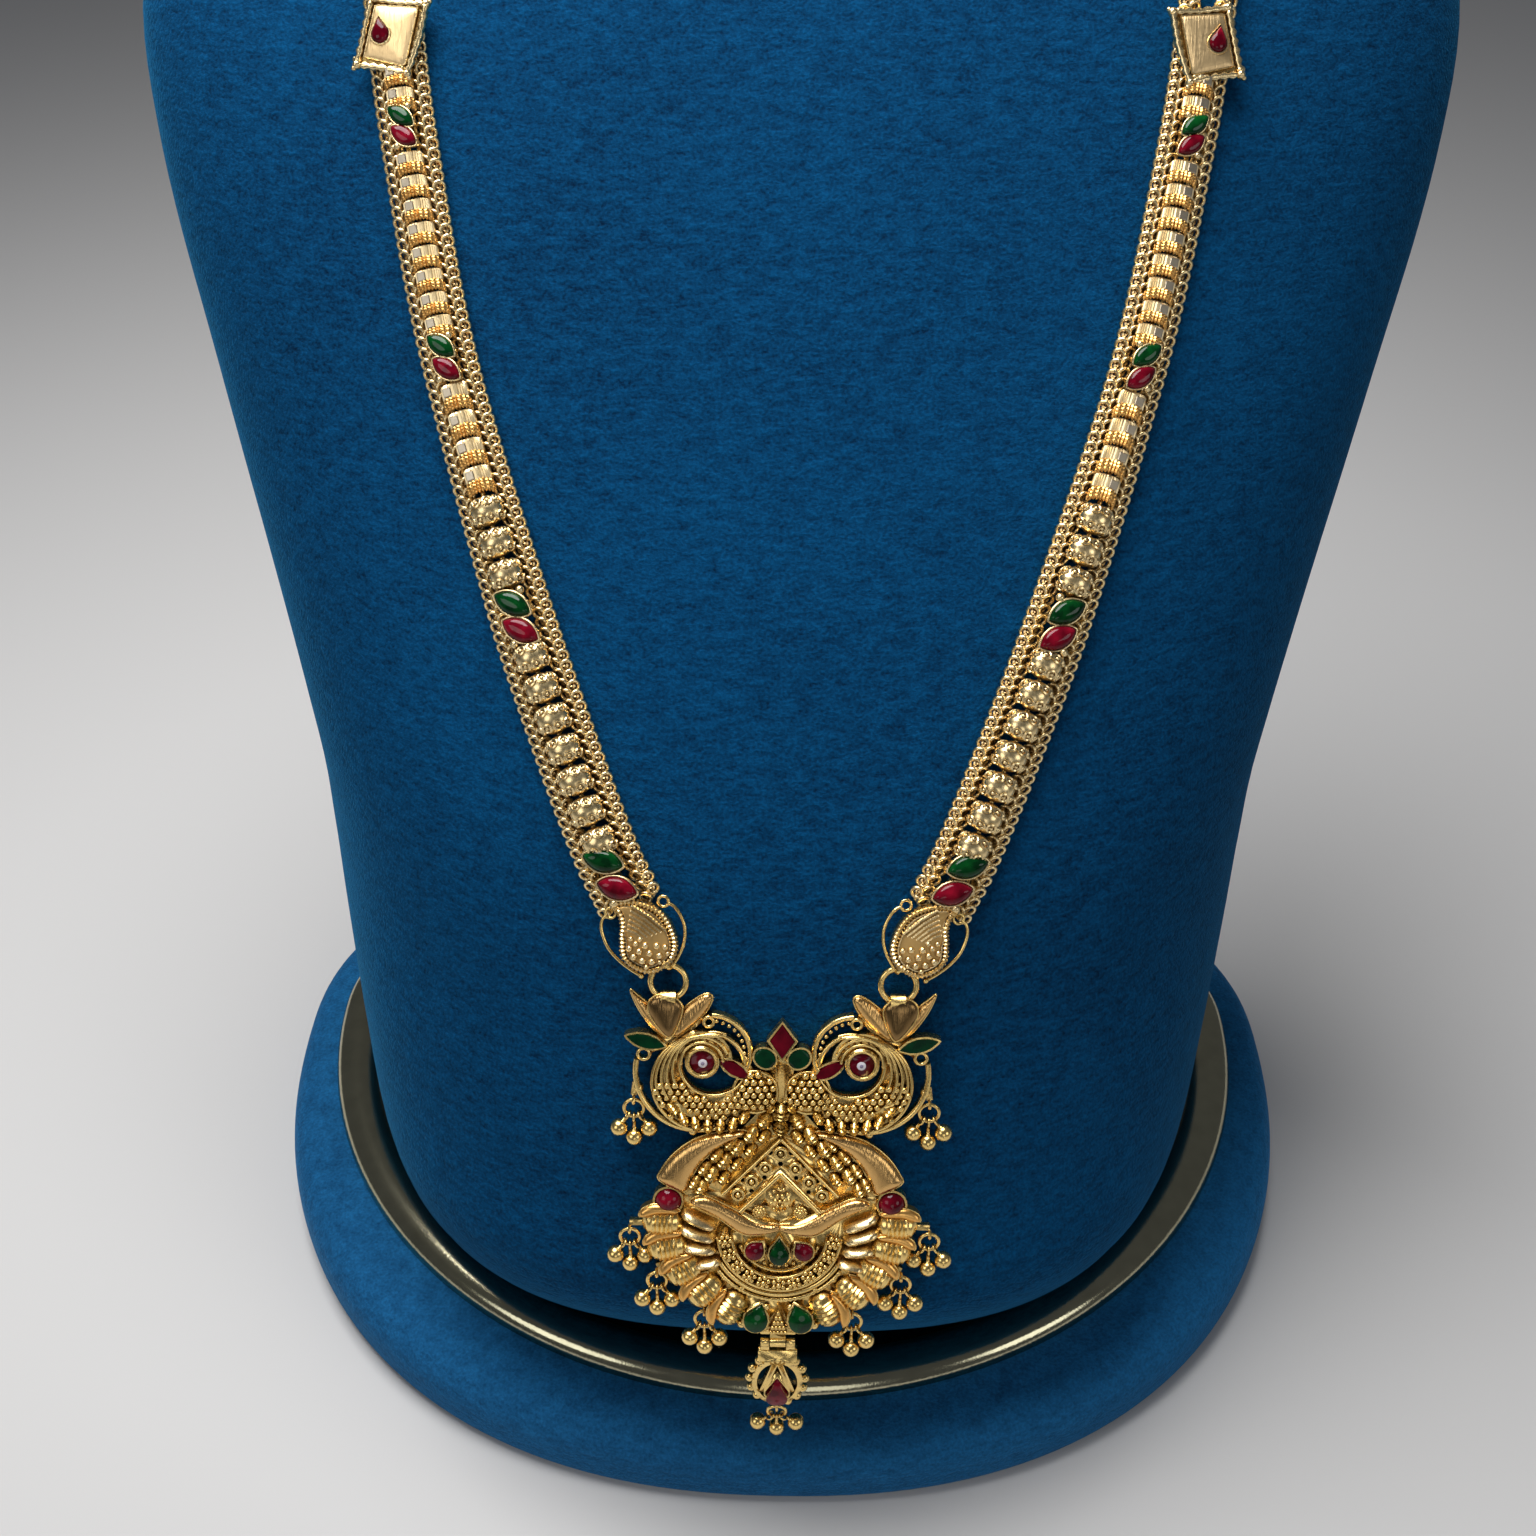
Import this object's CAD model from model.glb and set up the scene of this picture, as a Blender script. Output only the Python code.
import math
import random

import bmesh
import bpy
from bpy.props import FloatProperty, FloatVectorProperty, PointerProperty
from mathutils import Matrix, Vector
from mathutils.geometry import intersect_point_line


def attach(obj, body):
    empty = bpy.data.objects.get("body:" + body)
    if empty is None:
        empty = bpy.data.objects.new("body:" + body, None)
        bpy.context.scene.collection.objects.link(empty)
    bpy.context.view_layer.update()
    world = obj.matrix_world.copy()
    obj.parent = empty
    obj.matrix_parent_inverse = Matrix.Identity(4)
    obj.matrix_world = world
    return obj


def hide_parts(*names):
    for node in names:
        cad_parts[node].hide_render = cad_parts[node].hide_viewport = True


bl_info = {
    "name": "Long Peacock Necklace",
    "version": (1, 0, 0),
    "blender": (4, 5, 0),
    "location": "View3D > Sidebar > Necklace",
    "description": "Dresses the long gold necklace and its velvet neck bust",
    "category": "Object",
}

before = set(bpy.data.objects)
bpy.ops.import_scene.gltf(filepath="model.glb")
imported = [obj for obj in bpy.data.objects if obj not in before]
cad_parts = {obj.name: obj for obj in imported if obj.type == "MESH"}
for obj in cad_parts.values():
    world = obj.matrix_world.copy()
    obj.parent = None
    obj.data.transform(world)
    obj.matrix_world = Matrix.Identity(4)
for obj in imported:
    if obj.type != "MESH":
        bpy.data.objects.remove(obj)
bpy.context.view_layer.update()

# Sizes are in millimetres, as in the part's source, and each finished mesh is scaled to metres.
MM = 0.001
DISPLAY = "display"
TAIL = "tail"

# Reach of the dark hollows of the metal and depths of the fine surfaces, in metres
HOLLOW_REACH = 0.0012
SCRATCH_DEPTH = 0.00002
BRUSH_DEPTH = 0.0001
PILE_DEPTH = 0.0004

# Neck bust: height, half width, front and back
BUST_ROWS = [
    (16, 64, -60, 57), (22, 72.3, -66, 61.5), (32, 78.3, -72.8, 66), (40, 79.8, -77.6, 67.4),
    (46, 80.9, -80.6, 68), (54, 82.2, -81.2, 69), (66, 84.2, -76.2, 70), (80, 86.2, -70.6, 72),
    (95, 88.2, -63.8, 74), (110, 89.5, -56.7, 75), (122, 92, -49.5, 76), (134, 95, -41, 77),
    (170, 104.5, -13.5, 80), (205, 112.5, 13, 83), (230, 113, 32, 85), (248, 103, 46, 87),
    (262, 78, 57, 89), (275, 54, 64, 91), (290, 46, 68.5, 93), (300, 43, 71, 92),
]
BUST_MID = 0.62
BUST_ROUND = 2.3
# Height, roundness of the bust, squarer toward its foot
FOOT_ROUND = [(30, 2.9), (95, 2.3)]
# Height, how far the edge of the pad is drawn in
PAD_EDGE = [(0, 2.2), (1.4, 0.5), (5, 0), (9.5, 0.3), (12.4, 1.8), (14, 4), (14.8, 7.5)]
# Height, how far the edge of the metal plate is drawn in
PLATE_EDGE = [
    (14.9, 0), (16.4, 0.1), (17.9, 1.2), (18.7, 3), (18.9, 5), (18.5, 7), (17.5, 8.7), (16.4, 9.5),
    (15.9, 9.9),
]
# Half width, front, back, roundness
PAD_OVAL = (110, -88, 88, 2.25)
PLATE_OVAL = (101, -76.3, 79, 2)
OVAL_MID = 22
# Height on the bust, distance of the strap's middle from the centre
STRAP_ROWS = [
    (104, 18.8), (111, 21.9), (118, 25.3), (122, 27.9), (136, 35), (154, 43.3), (186, 55.4), (213, 61.9),
    (227, 64.3), (240, 65.7), (250, 65.9),
]
STAR_HEIGHT = 227
STRAP_TOP = 246
STRAP_LOW = 106
# Turn round the bust, height of the plain chain behind the neck
BACK_ROWS = [(-53.6, 251.2), (-42, 257), (-28, 262), (-5, 267), (20, 270), (50, 272), (90, 273)]
BACK_LIFT = 1.55
# First bead, pitch, number of beads, form
BEAD_ROWS = [
    (8.3, 3.6, 2, "fluted"),
    (22.2, 3.75, 8, "fluted"),
    (59.9, 4.6, 4, "fluted"),
    (78.8, 5.3, 3, "drum"),
    (103.3, 5.2, 7, "drum"),
]
# Middle of a pair of stones, pitch of the pair, size and turn of a stone
PAIR_ROWS = [(16.4, 3.1, 0.8, 44), (53.5, 3.7, 0.86, 49), (96.6, 4.4, 1.04, 44), (139.9, 4.9, 1.06, 41)]
# Height of the middle of the fluted beads, the round beads and the floor of the settings above the bust
BEAD_HIGH = 1.9
DRUM_HIGH = 2.55
SETTING_HIGH = 2.7
# Run of the star plate's middle along the strap, height of the plate, middle of its stone
STAR_AT = 1.6
STAR_HIGH = 2.25
STAR_STONE_AT = (1.5, -0.3)
STAR_EDGE = [
    (6.2, -4.1), (4.5, 0.4), (2.6, 5.8), (-1.6, 4.4), (-6.2, 3.5), (-4.5, -1.5), (-1.9, -6.8), (2.1, -5.2),
]
STAR_FACE = [(4.7, -3.2), (2, 4.5), (-4.9, 3), (-1.8, -5.7)]
PAISLEY_EDGE = [
    (1.7, 8.9), (-0.1, 8.2), (-2.1, 6.9), (-3.7, 5), (-4.5, 3.2), (-4.6, 0.8), (-3.9, -1.9), (-2.7, -3.6),
    (-0.9, -4.6), (1.3, -4.6), (3, -4.1), (4.4, -2.7), (5.3, -0.7), (5.2, 1), (4.1, 2.7), (2.6, 4.2),
    (1.7, 5.9), (1.5, 7.4),
]
# Top of the jump ring in the pendant's frame, end of the strap's run
RING_TOP = (18.4, 38.7, 1.4)
STRAP_END = 147
PAISLEY_SPINE = [(0.3, -0.2), (-0.6, 3), (0.6, 7.2)]
# Across, up, radius of a grain
PAISLEY_GRAINS = [
    (3.2, 1.2, 0.55), (3.5, -0.3, 0.6), (0.8, 0.1, 0.62), (-0.7, -1, 0.6), (-0.1, -2.5, 0.58),
    (2.2, -0.1, 0.6), (1, -1.3, 0.62), (0.9, 1.4, 0.45), (1.5, -2.6, 0.6), (2.7, -1.6, 0.6),
    (1.9, 1.2, 0.5), (2.1, 2.3, 0.45), (-1.7, -1.9, 0.5), (2.8, -2.8, 0.45), (-1.4, -3, 0.4),
    (0.5, -3.4, 0.4),
]
OUTER_SCROLL = [
    (2.6, 7.5), (4.1, 7.5), (5.1, 6.7), (5.9, 5.2), (6.4, 3), (6.2, 0.6), (5.5, -1.8), (4.7, -3.6),
]
INNER_SCROLL = [(-5.6, 4.1), (-6.6, 2.3), (-6.2, -0.6), (-4.8, -2.7), (-2.9, -4.1), (-0.8, -5)]
# End of the side chains' run, height of their middle above the bust
FLANK_END = 145.5
FLANK_LIFT = 1.2

# The pendant's own frame: across, up along the pendant, out of its back sheet
PENDANT_ZERO = Vector((0, -73.46, 74.54))
PENDANT_LEAN = 24.5
PENDANT = Matrix.Translation(PENDANT_ZERO) @ Matrix.Rotation(math.radians(90 - PENDANT_LEAN), 4, "X")
DROPS = ("side", "outer", "middle", "inner")
# Across, up, turn, length, width, height
FAN_ROWS = [
    (19.4, -6.4, 0, 6.6, 4.5, 3.3), (18.5, -10.9, -10, 6.6, 4.5, 3.3), (15.7, -15.2, -27, 6.6, 4.5, 3.3),
    (12.3, -18.9, -43, 6.6, 4.5, 3.3), (8, -22, -62, 6.4, 4.4, 3.3),
]
RIB_ROWS = [
    (13.4, -5.8, 25, 5, 1.8, 2.8), (13.6, -8.3, 18, 5, 1.8, 2.8), (13.2, -10.9, 5, 4.6, 1.8, 2.8),
    (12, -13.6, -12, 4, 1.7, 2.7),
]
PANEL_ROWS = [
    (2.6, 12, -65, 2.6, 1.9, 2.2), (4.9, 9.5, -60, 2.8, 1.8, 2.4), (7.1, 7.1, -58, 2.8, 1.8, 2.4),
    (9.2, 4.7, -56, 2.8, 1.8, 2.4), (11.3, 2.3, -60, 2.8, 1.8, 2.4), (13, 0, -66, 2.5, 1.7, 2.4),
    (2.7, 9.2, -55, 2.2, 1.5, 2.2), (4.9, 6.7, -55, 2.2, 1.5, 2.2), (7.1, 4.2, -55, 2.2, 1.5, 2.2),
    (9.2, 1.7, -58, 2.2, 1.5, 2.2),
]
# Small ovals between the panel and the petals, and above the panel
FILL_ROWS = [
    (8.2, 8, -50, 2.5, 1.5, 2.4), (10.5, 5.8, -50, 2.5, 1.5, 2.4), (12.5, 3.4, -54, 2.5, 1.5, 2.4),
    (14.1, 0.9, -60, 2.4, 1.5, 2.4), (0, 13.6, 90, 2.6, 2, 2.8), (0, 11, 90, 2.4, 2, 2.8),
    (1.9, 14.6, 60, 2, 1.5, 2.4),
]
BODY_ROWS = [
    (17.6, 14.2, 40, 2.2, 1.6, 2.6), (15.9, 12.3, 60, 2.2, 1.6, 2.6), (13.9, 11.5, 75, 2.3, 1.6, 2.6),
    (11.9, 11.2, 85, 2.3, 1.6, 2.6), (9.9, 11.2, 95, 2.3, 1.6, 2.6), (7.9, 11.5, 105, 2.3, 1.6, 2.6),
    (6.1, 12.9, 120, 2.2, 1.6, 2.6),
]
ROSETTES = [(0, 6.7), (2.45, 4), (4.7, 1.6), (6.9, -0.8)]
PETAL = [
    (5.5, 10.3), (10, 10), (14.2, 8.6), (17.5, 6), (19.6, 3), (19.9, 1.2), (15.8, -0.8), (14.6, 1.8),
    (12.8, 4.8), (9.6, 7.8),
]
SWOOSH = [
    (14.8, -2), (12.3, -1.2), (8.4, -3), (3.7, -5.6), (0, -6.1), (0, -7.1), (3.4, -8), (6.2, -7.9),
    (9.8, -5.3), (13, -3.4),
]
PETAL_SPINE = [(8, 9.6), (12, 8), (15.5, 5.2), (17.6, 2)]
SWOOSH_SPINE = [(13.6, -2.4), (10.5, -3), (6.5, -5.6), (2, -6.8)]
EYE_AT = Vector((12.9, 22.5))
HOLE_AT = Vector((11.1, 21.9))
NECK_AT = Vector((12.8, 18.6))
BODY_AT = Vector((4.3, 17.2))
CRESCENT_AT = Vector((0, -8))
EYE_TOP = 2.3

# Name, place, target, size and power of a light, in metres
LIGHTS = [
    ("key_light", (-0.12, 0.06, 0.64), (0, 0.02, 0.24), 0.42, 4.6),
    ("left_light", (-0.65, -0.6, 0.6), (0, -0.05, 0.12), 0.5, 1.3),
    ("right_light", (0.7, -0.55, 0.45), (0, -0.05, 0.12), 0.4, 0.85),
    ("front_light", (0.1, -0.95, 0.35), (0, -0.05, 0.1), 0.4, 0.5),
]
# Camera: place in millimetres, pitch, roll and yaw in degrees, focal length and frame in pixels
CAMERA_AT = Vector((0, -252.5, 302.5))
CAMERA_TURN = (38.1, 0.4, -0.8)
CAMERA_FOCAL = 1700
CAMERA_FRAME = 1536


# Curves of the bust and the strap


def smooth(t, rows, column):
    """Smooth value of one column of a table between its rows."""
    i = 0
    while i < len(rows) - 2 and t >= rows[i + 1][0]:
        i += 1

    def grad(k):
        a, b = max(k - 1, 0), min(k + 1, len(rows) - 1)
        return (rows[b][column] - rows[a][column]) / (rows[b][0] - rows[a][0])

    h = rows[i + 1][0] - rows[i][0]
    u = (t - rows[i][0]) / h
    start, end = rows[i][column], rows[i + 1][column]
    rise = (u**3 - 2 * u * u + u) * h * grad(i) + (u**3 - u * u) * h * grad(i + 1)
    return start + (3 * u * u - 2 * u**3) * (end - start) + rise


def linear(t, rows):
    """Straight value between rows of two numbers, held at the ends."""
    if t <= rows[0][0]:
        return rows[0][1]
    for (a, p), (b, q) in zip(rows, rows[1:]):
        if t <= b:
            return p + (q - p) * (t - a) / (b - a)
    return rows[-1][1]


def bend(v, e):
    return math.copysign(abs(v) ** (2 / e), v)


def oval_point(turn, half, front, mid, back, e, z):
    c, s = math.cos(math.radians(turn)), math.sin(math.radians(turn))
    deep = mid - front if s < 0 else back - mid
    return Vector((half * bend(c, e), mid + deep * bend(s, e), z))


def bust_point(turn, z, tuck=0.0):
    half, front, back = (smooth(z, BUST_ROWS, c) for c in (1, 2, 3))
    mid = front + BUST_MID * (back - front)
    return oval_point(turn, half - tuck, front + tuck, mid, back - tuck, linear(z, FOOT_ROUND), z)


def slab_point(turn, oval, edge, t):
    """Point on the pad or plate at a share of the way through the rows of its edge."""
    half, front, back, e = oval
    rows = [(i, *row) for i, row in enumerate(edge)]
    inset = smooth(t, rows, 2)
    return oval_point(turn, half - inset, front + inset, OVAL_MID, back - inset, e, smooth(t, rows, 1))


def bust_normal(turn, z):
    along = bust_point(turn + 0.5, z) - bust_point(turn - 0.5, z)
    up = bust_point(turn, z + 0.5) - bust_point(turn, z - 0.5)
    return along.cross(up).normalized()


def strap_turn(x, z):
    return -math.degrees(math.acos((x / smooth(z, BUST_ROWS, 1)) ** (BUST_ROUND / 2)))


def strap_point(z):
    return bust_point(strap_turn(smooth(z, STRAP_ROWS, 1), z), z)


def strap_runs():
    """Runs along the strap from the star plate, each with its height."""
    levels = range(STRAP_TOP + 4, STRAP_LOW - 1, -2)
    points = [strap_point(z) for z in levels]
    runs, run = [], 0
    for i, point in enumerate(points):
        run += (point - points[i - 1]).length if i else 0
        runs.append(run)
    by_height = sorted(zip(levels, runs))
    star = linear(STAR_HEIGHT, by_height)
    return [(r - star, z) for r, z in zip(runs, levels)], linear(STRAP_TOP, by_height) - star


RUNS, RUN_TOP = strap_runs()


def moved(across, up, high):
    return Matrix.Translation((across, up, high))


def turned(degrees, axis):
    return Matrix.Rotation(math.radians(degrees), 4, axis)


def sized(across, up, high):
    return Matrix.Diagonal((across, up, high, 1))


def axes(point, side, up, out):
    """Matrix of a place from its point and its three directions."""
    return Matrix.Translation(point) @ Matrix((side, up, out)).transposed().to_4x4()


def strap_place(s):
    """Place on the right strap at a run from the star plate."""
    z = linear(s, RUNS)
    up = (strap_point(z + 1) - strap_point(z - 1)).normalized()
    out = bust_normal(strap_turn(smooth(z, STRAP_ROWS, 1), z), z)
    side = up.cross(out).normalized()
    return axes(strap_point(z), side, out.cross(side), out)


def flank_place(s, way):
    """Place of a side chain, seated on the bust beside the strap's middle."""
    middle = strap_place(s)
    off = linear(s, [(60, 2.95), (98, 3.7)])
    q = middle.translation + way * off * middle.col[0].to_3d()
    turn = strap_turn(q.x, q.z)
    out = bust_normal(turn, q.z)
    return axes(bust_point(turn, q.z) + FLANK_LIFT * out, middle.col[0].to_3d(), middle.col[1].to_3d(), out)


def back_place(turn):
    """Place on the plain chain behind the neck."""
    z = smooth(turn, BACK_ROWS, 1)
    out = bust_normal(turn, z)
    point = bust_point(turn, z)
    ahead = (bust_point(turn + 1, smooth(turn + 1, BACK_ROWS, 1)) - point).normalized()
    side = ahead.cross(out).normalized()
    return axes(point + BACK_LIFT * out, side, ahead, out)


# Mesh helpers

# Shares of the way from the edge of a crowned plate to its spine, one for each level
CROWN_SHARES = (0, 0.1, 0.25, 0.45, 0.7, 0.88)


def as_mesh(bm, name="shape"):
    mesh = bpy.data.meshes.new(name)
    bm.to_mesh(mesh)
    bm.free()
    return mesh


def face_out(bm):
    bmesh.ops.remove_doubles(bm, verts=bm.verts, dist=0.001)
    bmesh.ops.recalc_face_normals(bm, faces=bm.faces)


def ring_shape(radius, thick, sides=6, steps=14):
    """Closed ring of round wire in the xy plane."""
    bm = bmesh.new()
    bmesh.ops.create_circle(bm, segments=sides, radius=thick)
    bmesh.ops.rotate(bm, verts=bm.verts, matrix=Matrix.Rotation(math.pi / 2, 3, "X"))
    bmesh.ops.translate(bm, verts=bm.verts, vec=(radius, 0, 0))
    profile = bm.verts[:] + bm.edges[:]
    bmesh.ops.spin(bm, geom=profile, axis=(0, 0, 1), angle=math.tau, steps=steps, use_merge=True)
    face_out(bm)
    return as_mesh(bm)


def turned_shape(profile, steps=14):
    """Solid turned round the x axis from rows of place and radius."""
    bm = bmesh.new()
    verts = [bm.verts.new((x, 0, r)) for x, r in profile]
    for a, b in zip(verts, verts[1:]):
        bm.edges.new((a, b))
    line = bm.verts[:] + bm.edges[:]
    bmesh.ops.spin(bm, geom=line, axis=(1, 0, 0), angle=math.tau, steps=steps, use_merge=True)
    face_out(bm)
    return as_mesh(bm)


def ribbed_profile(ribs, depth, fullness):
    """Rows of place and radius of a barrel of length 2 and radius 1 with ribs round it."""
    rows = [(-1, 0)]
    for i in range(2 * ribs + 1):
        x = -0.98 + 1.96 * i / (2 * ribs)
        swell = (1 - abs(x) ** fullness) ** (1 / fullness)
        rows.append((x, swell * (1 if i % 2 else 1 - depth)))
    return rows + [(1, 0)]


def smooth_profile(rings, fullness):
    rows = [(-1, 0)]
    for i in range(1, rings):
        x = -math.cos(math.pi * i / rings)
        rows.append((x, (1 - abs(x) ** fullness) ** (1 / fullness)))
    return rows + [(1, 0)]


def grain_shape(radius=1.0, sides=8, rings=5):
    bm = bmesh.new()
    bmesh.ops.create_uvsphere(bm, u_segments=sides, v_segments=rings, radius=radius)
    return as_mesh(bm)


def cube_shape():
    bm = bmesh.new()
    bmesh.ops.create_cube(bm, size=1)
    return as_mesh(bm)


def stamp(bm, shape, *places):
    """Adds a copy of a small mesh at each place."""
    for place in places:
        copy = shape.copy()
        copy.transform(place)
        bm.from_mesh(copy)
        bpy.data.meshes.remove(copy)


def wire(bm, points, radius, closed=False, sides=6, radii=None):
    """Adds a round wire through points, with a factor of its radius at each if given."""
    curve = bpy.data.curves.new("wire", "CURVE")
    curve.dimensions = "3D"
    curve.bevel_depth = radius
    curve.bevel_resolution = max((sides - 4) // 2, 0)
    curve.use_fill_caps = not closed
    spline = curve.splines.new("POLY")
    spline.points.add(len(points) - 1)
    for i, p in enumerate(points):
        spline.points[i].co = (*p, 1)
        spline.points[i].radius = radii[i] if radii else 1
    spline.use_cyclic_u = closed
    holder = bpy.data.objects.new("wire", curve)
    mesh = bpy.data.meshes.new_from_object(holder)
    bm.from_mesh(mesh)
    bpy.data.objects.remove(holder)
    bpy.data.curves.remove(curve)
    bpy.data.meshes.remove(mesh)


def spread(points, step, closed=False):
    """Points at an even step along a line of points."""
    line = list(points) + ([points[0]] if closed else [])
    line = [Vector(p) for p in line]
    lengths = [0]
    for a, b in zip(line, line[1:]):
        lengths.append(lengths[-1] + (b - a).length)
    count = max(round(lengths[-1] / step), 2)
    found, k = [], 0
    for i in range(count if closed else count + 1):
        t = lengths[-1] * i / count
        while k < len(line) - 2 and lengths[k + 1] < t:
            k += 1
        share = (t - lengths[k]) / max(lengths[k + 1] - lengths[k], 1e-9)
        found.append(line[k].lerp(line[k + 1], min(share, 1)))
    return found


def coil_wire(bm, points, radius, pitch, closed=False, depth=0.3, sides=6):
    """Adds a wire with a rib at each pitch, as coiled or milled wire has."""
    line = spread(points, pitch / 2, closed)
    if closed and len(line) % 2:
        line = spread(line, (pitch / 2) * len(line) / (len(line) + 1), True)
    wire(bm, line, radius, closed, sides, [1 if i % 2 else 1 - depth for i in range(len(line))])


def rounded(points, closed=True, cuts=4):
    """Smooth line through points."""
    n = len(points)
    pts = [Vector(p) for p in points]
    found = []
    for i in range(n if closed else n - 1):
        near = [(i + k) % n if closed else min(max(i + k, 0), n - 1) for k in (-1, 0, 1, 2)]
        p = [pts[k] for k in near]
        for j in range(cuts):
            t = j / cuts
            square = (2 * p[0] - 5 * p[1] + 4 * p[2] - p[3]) * t * t
            cube = (3 * p[1] - p[0] - 3 * p[2] + p[3]) * t**3
            found.append(0.5 * (2 * p[1] + (p[2] - p[0]) * t + square + cube))
    return found if closed else found + [pts[-1]]


def around(centre, radius, turns):
    """Points round a centre at turns in degrees."""
    flat = [math.radians(turn) for turn in turns]
    return [(centre[0] + radius * math.cos(a), centre[1] + radius * math.sin(a)) for a in flat]


def arc(centre, radius, start, stop, high=0.0, steps=24):
    turns = [start + (stop - start) * i / steps for i in range(steps + 1)]
    return lifted(around(centre, radius, turns), high)


def lifted(points, high):
    return [(p[0], p[1], high) for p in points]


def stacked(bm, levels):
    """A face drawn up in steps of one, as many as there are levels, into a closed solid."""
    top = bm.faces[:]
    for step in range(len(levels) - 1):
        made = bmesh.ops.extrude_face_region(bm, geom=top)["geom"]
        if step:
            bmesh.ops.delete(bm, geom=top, context="FACES_ONLY")
        bmesh.ops.translate(bm, verts=[g for g in made if isinstance(g, bmesh.types.BMVert)], vec=(0, 0, 1))
        top = [g for g in made if isinstance(g, bmesh.types.BMFace)]


def shell(sides, levels, point):
    """Closed shell with a ring of points for each level; point gives a place from turn and level."""
    bm = bmesh.new()
    bmesh.ops.create_circle(bm, segments=sides, radius=1, cap_ends=True)
    stacked(bm, levels)
    for v in bm.verts:
        v.co = point(math.degrees(math.atan2(v.co.y, v.co.x)), levels[round(v.co.z)])
    bmesh.ops.recalc_face_normals(bm, faces=bm.faces)
    return bm


def nearest(point, spine):
    """Nearest place to a point on a line of points."""
    if len(spine) == 1:
        return Vector(spine[0])
    found = []
    for a, b in zip(spine, spine[1:]):
        foot, share = intersect_point_line(point, Vector(a), Vector(b))
        found.append(foot if 0 < share < 1 else Vector(a if share <= 0 else b))
    return min(found, key=lambda foot: (foot - point).length)


def crowned(bm, outline, low, wall, high, spine, shares=CROWN_SHARES):
    """Adds a plate with an upright wall, rising in a round crown to its spine."""
    levels = [(0, 0)] + [(k, wall + high * math.sqrt(1 - (1 - k) ** 2)) for k in shares]
    made = bmesh.new()
    made.faces.new([made.verts.new((p[0], p[1], 0)) for p in outline])
    stacked(made, levels)
    for v in made.verts:
        share, rise = levels[round(v.co.z)]
        flat = v.co.xy
        v.co = (*flat.lerp(nearest(flat, spine), share), low + rise)
    bmesh.ops.recalc_face_normals(made, faces=made.faces)
    stamp(bm, as_mesh(made), Matrix())


def marquise(half_long, half_wide):
    """Pointed oval of two arcs."""
    radius = (half_long**2 + half_wide**2) / (2 * half_wide)
    reach = math.degrees(math.asin(half_long / radius))
    line = []
    for way in (1, -1):
        centre = (0, way * (half_wide - radius))
        line += arc(centre, radius, way * 90 + reach, way * 90 - reach, 0, 14)[:-1]
    return line


def drop_line(r, tip, at):
    """Line round a drop with its point at the given distance."""
    start = math.degrees(math.acos(r / tip))
    return [(at[0], at[1] + tip, 0)] + arc(at, r, 90 + start, 450 - start)


def pair_seat(run, along, size, turn):
    """Seat of one stone of a pair: along the strap from its run, above the chains, turned."""
    lift = moved(0, along, SETTING_HIGH) @ turned(turn, "Z")
    return strap_place(run) @ lift @ Matrix.Scale(size, 4)


def drawn_in(points, spine, by):
    """A line of points moved in toward a spine by an even distance."""
    flat = [Vector(p[:2]) for p in points]
    return [p + by * (nearest(p, spine) - p).normalized() for p in flat]


def mirrored(mesh):
    left = mesh.copy()
    left.transform(Matrix.Scale(-1, 4, (1, 0, 0)))
    left.flip_normals()
    return left


def both_halves(bm):
    """The right half and its mirror image, as one bmesh."""
    right = as_mesh(bm)
    whole = bmesh.new()
    whole.from_mesh(right)
    whole.from_mesh(mirrored(right))
    return whole


def place_of(row, grow=1.0):
    """Place of a barrel from its row: across, up, turn, length, width, height."""
    across, up, turn, length, width, high = row
    size = sized(grow * length / 2, grow * width / 2, grow * high)
    return moved(across, up, 0) @ turned(turn, "Z") @ size


def finish_piece(name, bm, finish, place=None, body=DISPLAY, stands_for=(), sharp=66):
    """Makes the piece's object in metres, gives it its finish and its body."""
    mesh = as_mesh(bm, name)
    if place is not None:
        mesh.transform(place)
    mesh.transform(Matrix.Scale(MM, 4))
    mesh.materials.append(FINISHES[finish])
    mesh.shade_smooth()
    mesh.set_sharp_from_angle(angle=math.radians(sharp))
    made = bpy.data.objects.new(name, mesh)
    bpy.context.scene.collection.objects.link(made)
    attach(made, body)
    if stands_for:
        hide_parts(*stands_for)


def pendant_piece(name, bm, finish="gold", sharp=66):
    """A piece on the right half of the pendant with its mirror image."""
    finish_piece(name, both_halves(bm), finish, PENDANT, sharp=sharp)


def side_pieces(name, bm, finish, nodes=(), sharp=66):
    """A piece on the right strap and its mirror image on the left one."""
    right = as_mesh(bm)
    for side, mesh in (("right", right), ("left", mirrored(right))):
        held = bmesh.new()
        held.from_mesh(mesh)
        replaced = [part.replace("%", side) if "%" in part else f"{part}_{side}" for part in nodes]
        finish_piece(f"{name}_{side}", held, finish, stands_for=replaced, sharp=sharp)


def smooth_copy(part, finish="gold", body=DISPLAY, sharp=35):
    """A CAD node's shape with its corners joined, so that its round faces shade smoothly."""
    bm = bmesh.new()
    bm.from_mesh(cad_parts[part].data)
    bmesh.ops.remove_doubles(bm, verts=bm.verts, dist=0.000004)
    bmesh.ops.scale(bm, verts=bm.verts, vec=(1 / MM, 1 / MM, 1 / MM))
    finish_piece(f"{part}_polished", bm, finish, body=body, stands_for=[part], sharp=sharp)


# Materials


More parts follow.
